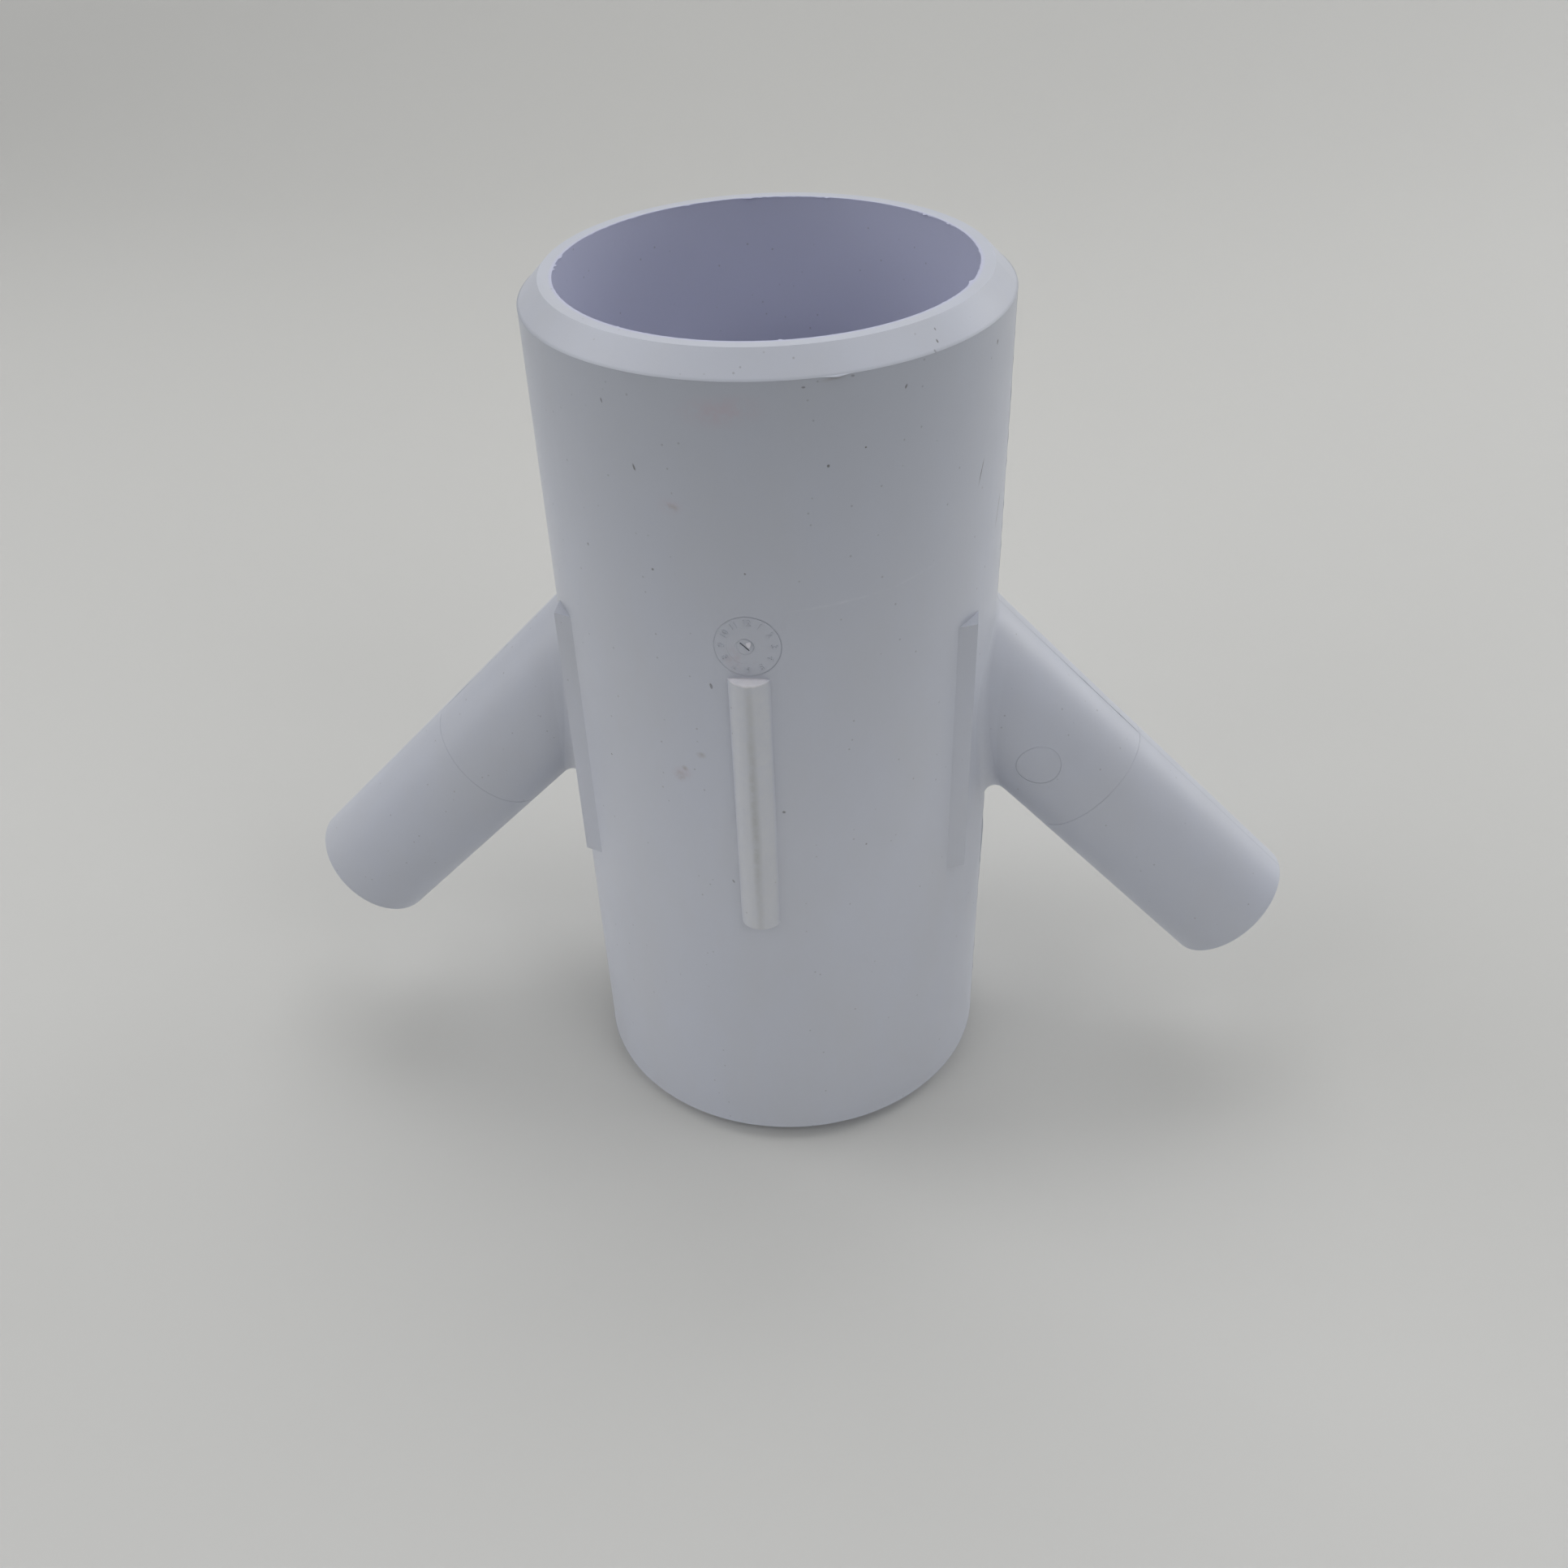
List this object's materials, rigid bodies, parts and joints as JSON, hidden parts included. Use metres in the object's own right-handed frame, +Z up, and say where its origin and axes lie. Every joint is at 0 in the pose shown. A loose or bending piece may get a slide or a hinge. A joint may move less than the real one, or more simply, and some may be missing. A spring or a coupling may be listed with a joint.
{
  "type": "lateral wye fitting",
  "caption": "Plastic pipe fitting: a straight bevelled tube with two smaller side branches leaving it outward and down at 45 degrees.",
  "frame": {"origin": "centre of the main tube's lower end, on the face it stands on", "axes": "+Z up along the main tube; +X along the plane of the branches, towards the right branch; -Y is the front, with the date dial"},
  "size_m": [0.1498, 0.0634, 0.125],
  "materials": {
    "pvc": "satin, pale blue-grey rigid PVC"
  },
  "bodies": {
    "root": {"wye_body": "pvc"}
  },
  "joints": []
}
